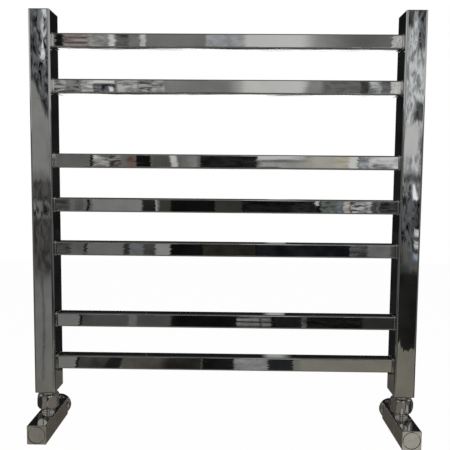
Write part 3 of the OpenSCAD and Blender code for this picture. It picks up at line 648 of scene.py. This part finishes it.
# %% [markdown]
# ## Finishes
# Plated tube is a mirror with flaws. Drawing and polishing leave long, very shallow waves along the
# tube and finer lines beside them, which bend reflections without dulling them. Wiping leaves
# hairlines and cloudy patches, which only change the roughness. Each flaw is a group of nodes, so
# that every chrome part can use it at its own strength.

# %% Group: long waves left by drawing and polishing
waves, entry, leave = new_group(
    "polish_waves",
    [("Vector", VECTOR, None), ("Broad Scale", FLOAT, 20.0), ("Fine Share", FLOAT, 0.3)],
    [("Height", FLOAT)],
)
broad = new_node(waves, "TexNoise", (-600, 150), Detail=2.0, Roughness=0.4)
fine = new_node(waves, "TexNoise", (-600, -150), Detail=3.0, Roughness=0.5)
finer = new_math(waves, "MULTIPLY", (-750, -250), 4.5)
weigh = new_math(waves, "MULTIPLY", (-300, -150))
add = new_math(waves, "ADD", (0, 0))
wire(waves,
     (entry, "Vector", broad, "Vector"),
     (entry, "Vector", fine, "Vector"),
     (entry, "Broad Scale", broad, "Scale"),
     (entry, "Broad Scale", finer, 0),
     (finer, 0, fine, "Scale"),
     (fine, 0, weigh, 0),
     (entry, "Fine Share", weigh, 1),
     (broad, 0, add, 0),
     (weigh, 0, add, 1),
     (add, 0, leave, "Height"))
print("group:", waves.name)

# %% Group: fine lines left by drawing the tube
drawing, entry, leave = new_group(
    "drawing_lines",
    [("Vector", VECTOR, None), ("Normal", VECTOR, None), ("Along", VECTOR, None),
     ("Tilt", FLOAT, 0.02)],
    [("Normal", VECTOR)],
)
lines = new_node(drawing, "TexNoise", (-600, 0), Scale=1.0, Detail=2.0, Roughness=0.6)
centred = new_math(drawing, "SUBTRACT", (-400, 0), 0.5)
lean_by = new_math(drawing, "MULTIPLY", (-200, 0))
sideways = new_vector_math(drawing, "SCALE", (0, 0))
leaned = new_vector_math(drawing, "ADD", (200, 0))
unit = new_vector_math(drawing, "NORMALIZE", (400, 0))
wire(drawing,
     (entry, "Vector", lines, "Vector"),
     (lines, 0, centred, 0),
     (centred, 0, lean_by, 0),
     (entry, "Tilt", lean_by, 1),
     (entry, "Along", sideways, 0),
     (lean_by, 0, sideways, "Scale"),
     (entry, "Normal", leaned, 0),
     (sideways, 0, leaned, 1),
     (leaned, 0, unit, 0),
     (unit, 0, leave, "Normal"))
print("group:", drawing.name)

# %% Group: facets of a forged nut, which bulge a little
bulging, entry, leave = new_group(
    "bulging_facets",
    [("Vector", VECTOR, None), ("Normal", VECTOR, None), ("Axis", VECTOR, None),
     ("Across", VECTOR, None), ("Share", FLOAT, 0.5)],
    [("Normal", VECTOR)],
)
split = new_node(bulging, "SeparateXYZ", (-900, 0))
side = new_math(bulging, "SIGN", (-700, 200))
mirrored = new_node(bulging, "CombineXYZ", (-550, 200), Y=1.0, Z=1.0)
own_axis = new_vector_math(bulging, "MULTIPLY", (-400, 200))
offset = new_vector_math(bulging, "SUBTRACT", (-250, 0))
outward = new_vector_math(bulging, "MULTIPLY", (-100, 0))
direction = new_vector_math(bulging, "NORMALIZE", (100, 0))
weighed = new_vector_math(bulging, "SCALE", (250, 0))
bent = new_vector_math(bulging, "ADD", (350, 0))
unit = new_vector_math(bulging, "NORMALIZE", (450, 0))
wire(bulging,
     (entry, "Vector", split, 0),
     (split, "X", side, 0),
     (side, 0, mirrored, "X"),
     (entry, "Axis", own_axis, 0),
     (mirrored, 0, own_axis, 1),
     (entry, "Vector", offset, 0),
     (own_axis, 0, offset, 1),
     (offset, 0, outward, 0),
     (entry, "Across", outward, 1),
     (outward, 0, direction, 0),
     (direction, 0, weighed, 0),
     (entry, "Share", weighed, "Scale"),
     (entry, "Normal", bent, 0),
     (weighed, 0, bent, 1),
     (bent, 0, unit, 0),
     (unit, 0, leave, "Normal"))
print("group:", bulging.name)

# %% Group: cloudy patches and hairlines left by wiping
wiping, entry, leave = new_group(
    "wiped_haze",
    [("Vector", VECTOR, None), ("Clean", FLOAT, 0.05), ("Hazy", FLOAT, 0.16),
     ("Hairlines", FLOAT, 0.05)],
    [("Roughness", FLOAT)],
)
cloud = new_node(wiping, "TexNoise", (-600, 150), Scale=9.0, Detail=4.0, Roughness=0.6)
patch = new_node(wiping, "MapRange", (-350, 150), interpolation_type="SMOOTHSTEP",
                 From_Min=0.45, From_Max=0.75)
stretch = new_node(wiping, "Mapping", (-750, -200),
                   Rotation=(0.3, 0.5, 0.2), Scale=(30.0, 900.0, 200.0))
hair = new_node(wiping, "TexNoise", (-550, -200), Scale=1.0, Detail=2.0, Roughness=0.5)
lines = new_node(wiping, "MapRange", (-350, -200), From_Min=0.60, From_Max=0.72)
line_share = new_math(wiping, "MULTIPLY", (-100, -200))
total = new_math(wiping, "ADD", (200, 0))
wire(wiping,
     (entry, "Vector", cloud, "Vector"),
     (cloud, 0, patch, "Value"),
     (entry, "Clean", patch, "To Min"),
     (entry, "Hazy", patch, "To Max"),
     (entry, "Vector", stretch, "Vector"),
     (stretch, 0, hair, "Vector"),
     (hair, 0, lines, "Value"),
     (lines, 0, line_share, 0),
     (entry, "Hairlines", line_share, 1),
     (patch, 0, total, 0),
     (line_share, 0, total, 1),
     (total, 0, leave, "Roughness"))
print("group:", wiping.name)

# %% Group: dust that settles on faces that look up
dusting, entry, leave = new_group(
    "settled_dust",
    [("Vector", VECTOR, None), ("Normal", VECTOR, None), ("Amount", FLOAT, 0.2)],
    [("Mask", FLOAT)],
)
split = new_node(dusting, "SeparateXYZ", (-650, 150))
upward = new_node(dusting, "MapRange", (-450, 150), From_Min=0.35, From_Max=0.95)
specks = new_node(dusting, "TexNoise", (-650, -150),
                  Scale=140.0, Detail=4.0, Roughness=0.7)
sparse = new_node(dusting, "MapRange", (-450, -150), From_Min=0.42, From_Max=0.70)
both = new_math(dusting, "MULTIPLY", (-150, 0))
scaled = new_math(dusting, "MULTIPLY", (100, 0))
wire(dusting,
     (entry, "Normal", split, 0),
     (split, "Z", upward, "Value"),
     (entry, "Vector", specks, "Vector"),
     (specks, 0, sparse, "Value"),
     (upward, 0, both, 0),
     (sparse, 0, both, 1),
     (both, 0, scaled, 0),
     (entry, "Amount", scaled, 1),
     (scaled, 0, leave, "Mask"))
print("group:", dusting.name)

# %% [markdown]
# ## Chrome plate
# One recipe serves all plated parts. The metal's colour drifts a little where the nickel under the
# chrome is thinner, dust greys and dulls it on top, the roughness comes from the haze group, and
# the waves feed a bump. Rails and collectors differ only in the direction of their waves and lines,
# because tube is drawn lengthways. Cast fittings have rounder and shorter waves, and the faces of
# the nuts bulge.

# %% Chrome: colour and roughness
dust_colour = (0.42, 0.40, 0.36, 1)
dust_roughness = 0.6


def plate_surface(tree, place, colour, clean, hazy, dust):
    """Feeds the shader's colour and roughness."""
    tone = new_node(tree, "TexNoise", (-1000, 500), Scale=7.0, Detail=3.0, Roughness=0.5)
    drift = new_node(tree, "Mix", (-700, 500), data_type="RGBA",
                     A=(*[c * 0.94 for c in colour], 1), B=(*[c * 1.04 for c in colour], 1))
    facing = new_node(tree, "NewGeometry", (-1300, -500))
    settled = new_node(tree, "Group", (-1000, -450), node_tree=dusting, Amount=dust)
    haze = new_node(tree, "Group", (-1000, 150), node_tree=wiping, Clean=clean, Hazy=hazy)
    rough = new_node(tree, "Mix", (-500, 100), data_type="FLOAT", B=dust_roughness)
    dusty = new_node(tree, "Mix", (-400, 450), data_type="RGBA", B=dust_colour)
    shader = tree.nodes["Principled BSDF"]
    wire(tree,
         (place, "Object", tone, "Vector"),
         (tone, 0, drift, "Factor"),
         (place, "Object", settled, "Vector"),
         (facing, "Normal", settled, "Normal"),
         (place, "Object", haze, "Vector"),
         (settled, "Mask", rough, "Factor"),
         (haze, "Roughness", rough, "A"),
         (rough, "Result", shader, "Roughness"),
         (settled, "Mask", dusty, "Factor"),
         (drift, "Result", dusty, "A"),
         (dusty, "Result", shader, "Base Color"))


# %% Chrome: the recipe
def chrome(name, colour, stretch, broad, fine_share, depth, clean, hazy, dust):
    """A plated finish.

    stretch squeezes the waves' coordinates, so 0.35 makes them about three times as long. broad is
    the scale of the broad waves, fine_share the height of the fine ones beside them, and depth the
    height of both. clean and hazy are the roughness where the metal was wiped well and badly.
    """
    made = bpy.data.materials.new(name)
    made.use_nodes = True
    tree = made.node_tree
    shader = tree.nodes["Principled BSDF"]
    shader.inputs["Metallic"].default_value = 1.0
    place = new_node(tree, "TexCoord", (-1500, 0))
    plate_surface(tree, place, colour, clean, hazy, dust)
    squeezed = new_node(tree, "Mapping", (-1300, 100), Scale=stretch)
    ripple = new_node(tree, "Group", (-1000, -150), node_tree=waves,
                      Broad_Scale=broad, Fine_Share=fine_share)
    bump = new_node(tree, "Bump", (-500, -200), name="waves",
                    Strength=1.0, Distance=depth)
    wire(tree,
         (place, "Object", squeezed, "Vector"),
         (squeezed, 0, ripple, "Vector"),
         (ripple, "Height", bump, "Height"),
         (bump, "Normal", shader, "Normal"))
    print("chrome:", name)
    return made


def put_in_normal(finish, group, **values):
    """Puts a group between a finish's waves and its shader, and returns what its wiring needs."""
    tree = finish.node_tree
    place = new_node(tree, "TexCoord", (-700, -500))
    added = new_node(tree, "Group", (-250, -300), node_tree=group, **values)
    wire(tree,
         (tree.nodes["waves"], "Normal", added, "Normal"),
         (added, "Normal", tree.nodes["Principled BSDF"], "Normal"))
    return tree, place, added


# %% Chrome of the drawn tubes
lines_across = 600.0
lines_along = 2.0
tube, fitting = record["materials"][:2]
tube_colour, fitting_colour = tube["base_color"], fitting["base_color"]


def draw_lines(finish, along, tilt):
    """Adds a drawn tube's lines. along is the tube's direction, and tilt is how far they lean."""
    tree, place, drawn = put_in_normal(finish, drawing, Along=along, Tilt=tilt)
    rows = new_node(tree, "Mapping", (-500, -500),
                    Scale=[lines_along if a else lines_across for a in along])
    wire(tree, (place, "Object", rows, "Vector"), (rows, 0, drawn, "Vector"))


rail_chrome = chrome("rail_chrome", tube_colour, (0.35, 1.0, 1.0), 30.0, 0.10, 0.00004,
                     0.015, 0.050, 0.06)
draw_lines(rail_chrome, (1, 0, 0), 0.011)
column_chrome = chrome("column_chrome", tube_colour, (1.0, 1.0, 0.35), 30.0, 0.10, 0.00006,
                       0.015, 0.050, 0.04)
draw_lines(column_chrome, (0, 0, 1), 0.020)

# %% Chrome of the fittings and beads
fitting_chrome = chrome("fitting_chrome", fitting_colour, even, 60.0, 0.15, 0.00003,
                        0.04, 0.12, 0.10)
nut_chrome = chrome("nut_chrome", fitting_colour, even, 110.0, 0.25, 0.00012, 0.03, 0.09, 0.10)
inlet_chrome = chrome("inlet_chrome", fitting_colour, even, 90.0, 0.20, 0.00006, 0.03, 0.09, 0.10)
weld_chrome = chrome("weld_chrome", tube_colour, even, 260.0, 0.40, 0.00006, 0.04, 0.12, 0.05)


def bulge_facets(finish, nut, across, share):
    """Rounds a nut's faces about its axis by a share of a full round.

    The group mirrors the right-hand nut's axis for the left-hand one. across has a 0 for the
    direction that the axis runs in.
    """
    low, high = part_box(nut)
    tree, place, rounded = put_in_normal(finish, bulging, Axis=(Vector(low) + Vector(high)) / 2,
                                         Across=across, Share=share)
    wire(tree, (place, "Object", rounded, "Vector"))


bulge_facets(nut_chrome, "right_union_nut", (1, 1, 0), 0.8)
bulge_facets(inlet_chrome, "right_inlet_nut", (1, 0, 1), 0.45)

# %% [markdown]
# ## Brass, rubber and steel
# Few of these show on a hung rack, but the headwork comes into view when the cap is pulled off.
# Turned brass has fine rings from the lathe tool, rubber is dark with a dull bloom, and a blackened
# screw is worn to bare steel in places. In all three a noise mixes two tones and two roughnesses,
# and a finer pattern feeds a slight bump.

# %% A finish of two tones
def two_tone(name, metallic, tones, roughnesses, strength, depth):
    """A finish with its mixing nodes. What drives them is wired by the caller."""
    made = bpy.data.materials.new(name)
    made.use_nodes = True
    tree = made.node_tree
    shader = tree.nodes["Principled BSDF"]
    shader.inputs["Metallic"].default_value = metallic
    place = new_node(tree, "TexCoord", (-1200, 0))
    shade = new_node(tree, "Mix", (-500, 250), data_type="RGBA", A=tones[0], B=tones[1])
    dull = new_node(tree, "MapRange", (-500, 0),
                    To_Min=roughnesses[0], To_Max=roughnesses[1])
    bump = new_node(tree, "Bump", (-400, -200), Strength=strength, Distance=depth)
    wire(tree,
         (shade, "Result", shader, "Base Color"),
         (dull, 0, shader, "Roughness"),
         (bump, "Normal", shader, "Normal"))
    print("finish:", name)
    return made, tree, place, shade, dull, bump


# %% Turned brass
brass, tree, place, shade, dull, bump = two_tone(
    "turned_brass", 1.0, ((0.78, 0.60, 0.30, 1), (0.52, 0.36, 0.16, 1)), (0.20, 0.45), 0.6, 0.00002)
rings = new_node(tree, "TexWave", (-900, -200), bands_direction="Y",
                 Scale=320.0, Distortion=1.2, Detail=2.0)
tarnish = new_node(tree, "TexNoise", (-900, 200), Scale=55.0, Detail=5.0, Roughness=0.6)
wire(tree,
     (place, "Object", rings, "Vector"),
     (place, "Object", tarnish, "Vector"),
     (rings, 0, bump, "Height"),
     (tarnish, 0, shade, "Factor"),
     (tarnish, 0, dull, "Value"))

# %% Moulded rubber
rubber, tree, place, shade, dull, bump = two_tone(
    "moulded_rubber", 0.0, ((0.016, 0.016, 0.018, 1), (0.055, 0.055, 0.055, 1)), (0.55, 0.85),
    0.5, 0.00003)
grain = new_node(tree, "TexNoise", (-900, 0), Scale=900.0, Detail=3.0, Roughness=0.6)
bloom = new_node(tree, "TexNoise", (-900, 250), Scale=60.0, Detail=3.0, Roughness=0.5)
wire(tree,
     (place, "Object", grain, "Vector"),
     (place, "Object", bloom, "Vector"),
     (bloom, 0, shade, "Factor"),
     (bloom, 0, dull, "Value"),
     (grain, 0, bump, "Height"))

# %% Blackened steel
steel, tree, place, shade, dull, bump = two_tone(
    "blackened_steel", 1.0, ((0.075, 0.075, 0.08, 1), (0.34, 0.33, 0.32, 1)), (0.48, 0.28),
    0.5, 0.00002)
worn = new_node(tree, "TexNoise", (-900, 200), Scale=240.0, Detail=5.0, Roughness=0.65)
mask = new_node(tree, "MapRange", (-700, 200), From_Min=0.52, From_Max=0.68)
wire(tree,
     (place, "Object", worn, "Vector"),
     (worn, 0, mask, "Value"),
     (mask, 0, shade, "Factor"),
     (mask, 0, dull, "Value"),
     (worn, 0, bump, "Height"))

# %% Give every CAD node its finish
finish_of_slot = {
    "chrome_fitting": fitting_chrome,
    "brass": brass,
    "rubber": rubber,
    "steel_screw": steel,
}
for part in record["subparts"]:
    node, slot = part["node"], part["material_slot"]
    tube_finish = rail_chrome if node.startswith("rail_") else column_chrome
    finish = finish_of_slot.get(slot, tube_finish)
    if node.endswith("_nut"):
        finish = nut_chrome if node.endswith("union_nut") else inlet_chrome
    for face_slot in nodes[node].material_slots:
        face_slot.material = finish
    print(node, "<-", finish.name)

# %% [markdown]
# ## Weld beads
# A rail's end is welded to the collector all round, and so are the bracket posts and the two ports
# at the back. After the weld is dressed and plated, a narrow bead is left in the corner, and it
# shows as a thin light line. The rails' bead is a rounded square ring, drawn out of one face in
# three steps, so that its outside is domed. It is modelled once and copied to all ends. The round
# ones are thin rings sunk halfway into the metal.

# %% The bead of one rail's end
rail_low, rail_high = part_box("rail_1")
joint_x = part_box("left_column")[1][0]
joint = Vector((joint_x, (rail_low[1] + rail_high[1]) / 2, (rail_low[2] + rail_high[2]) / 2))
tube_size = rail_high[2] - rail_low[2]
tube_corner = 0.002
swell = 0.0012
bead_inside = 0.0006
dome_steps = ((0.0005, 0.0002), (0.0005, 0.0007), (0.0004, 0.0012))  # way out, way in
width = tube_size + 2 * swell
bpy.ops.object.select_all(action="DESELECT")
bpy.ops.mesh.primitive_plane_add(size=width, location=joint, rotation=(0, math.pi / 2, 0))
bead = bpy.context.active_object
bead.name = "rail_1_left_weld"
bpy.ops.object.transform_apply(location=True, rotation=True, scale=True)
bpy.ops.object.mode_set(mode="EDIT")
bpy.ops.mesh.select_all(action="SELECT")
bpy.ops.mesh.bevel(offset=tube_corner + swell, segments=5, affect="VERTICES")
for way_out, narrower in dome_steps:
    bpy.ops.mesh.extrude_region_move(TRANSFORM_OT_translate={"value": (way_out, 0, 0)})
    shrink = (tube_size + 2 * (swell - narrower)) / width
    bpy.ops.transform.resize(value=(1, shrink, shrink), center_override=joint)
    width *= shrink
bpy.ops.object.mode_set(mode="OBJECT")
print(bead.name, "has", len(bead.data.polygons), "faces before it is opened")

# %% Open the bead into a ring
end_face_area = 0.0003
for inset, at_start in ((swell + bead_inside, True), (bead_inside, False)):
    bpy.ops.object.mode_set(mode="EDIT")
    bpy.ops.mesh.select_all(action="DESELECT")
    bpy.ops.object.mode_set(mode="OBJECT")
    for face in bead.data.polygons:
        starts = abs(face.center.x - joint_x) < 0.0002
        face.select = face.area > end_face_area and starts == at_start
    bpy.ops.object.mode_set(mode="EDIT")
    bpy.ops.mesh.inset(thickness=inset)
    bpy.ops.mesh.delete(type="FACE")
bpy.ops.mesh.select_all(action="DESELECT")
bpy.ops.mesh.select_non_manifold()
bpy.ops.mesh.bridge_edge_loops()
bpy.ops.mesh.select_all(action="SELECT")
bpy.ops.mesh.normals_make_consistent(inside=False)
bpy.ops.object.mode_set(mode="OBJECT")
bpy.ops.object.shade_smooth_by_angle(angle=math.radians(50))
bead.data.materials.append(weld_chrome)
print(bead.name, len(bead.data.polygons), "faces, outline",
      [round(size * 1000, 2) for size in bead.dimensions], "mm")

# %% Beads at all fourteen ends
# half a turn about the rack's middle brings the left end's bead to the right end
half_turn = Matrix.Translation((0, 2 * joint[1], 0)) @ Matrix.Rotation(math.pi, 4, "Z")
beads = 0
for number in range(1, 8):
    low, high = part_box(f"rail_{number}")
    height = (low[2] + high[2]) / 2 - joint[2]
    for side in ("left", "right"):
        if (number, side) == (1, "left"):
            piece = bead
        else:
            piece = bead.copy()
            piece.data = bead.data.copy()
            piece.name = f"rail_{number}_{side}_weld"
            bpy.context.scene.collection.objects.link(piece)
        if side == "right":
            piece.data.transform(half_turn)
        piece.data.transform(Matrix.Translation((0, 0, height)))
        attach(piece, "rail_frame")
        beads += 1
print(beads, "rail beads")

# %% Round beads at the bracket posts and ports
ring_radius = 0.0007
back_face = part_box("left_column")[1][1]
for node in ("upper_left_post", "upper_right_post", "lower_left_post", "lower_right_post",
             "vent_port", "blank_port"):
    low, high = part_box(node)
    middle = ((low[0] + high[0]) / 2, back_face, (low[2] + high[2]) / 2)
    bpy.ops.object.select_all(action="DESELECT")
    bpy.ops.mesh.primitive_torus_add(
        location=middle, rotation=(math.pi / 2, 0, 0), major_segments=64, minor_segments=12,
        major_radius=(high[2] - low[2]) / 2, minor_radius=ring_radius)
    ring = bpy.context.active_object
    ring.name = f"{node}_weld"
    bpy.ops.object.transform_apply(location=True, rotation=True, scale=True)
    bpy.ops.object.shade_smooth()
    ring.data.materials.append(weld_chrome)
    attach(ring, "rail_frame")
    print(ring.name, [round(v * 1000, 1) for v in middle])
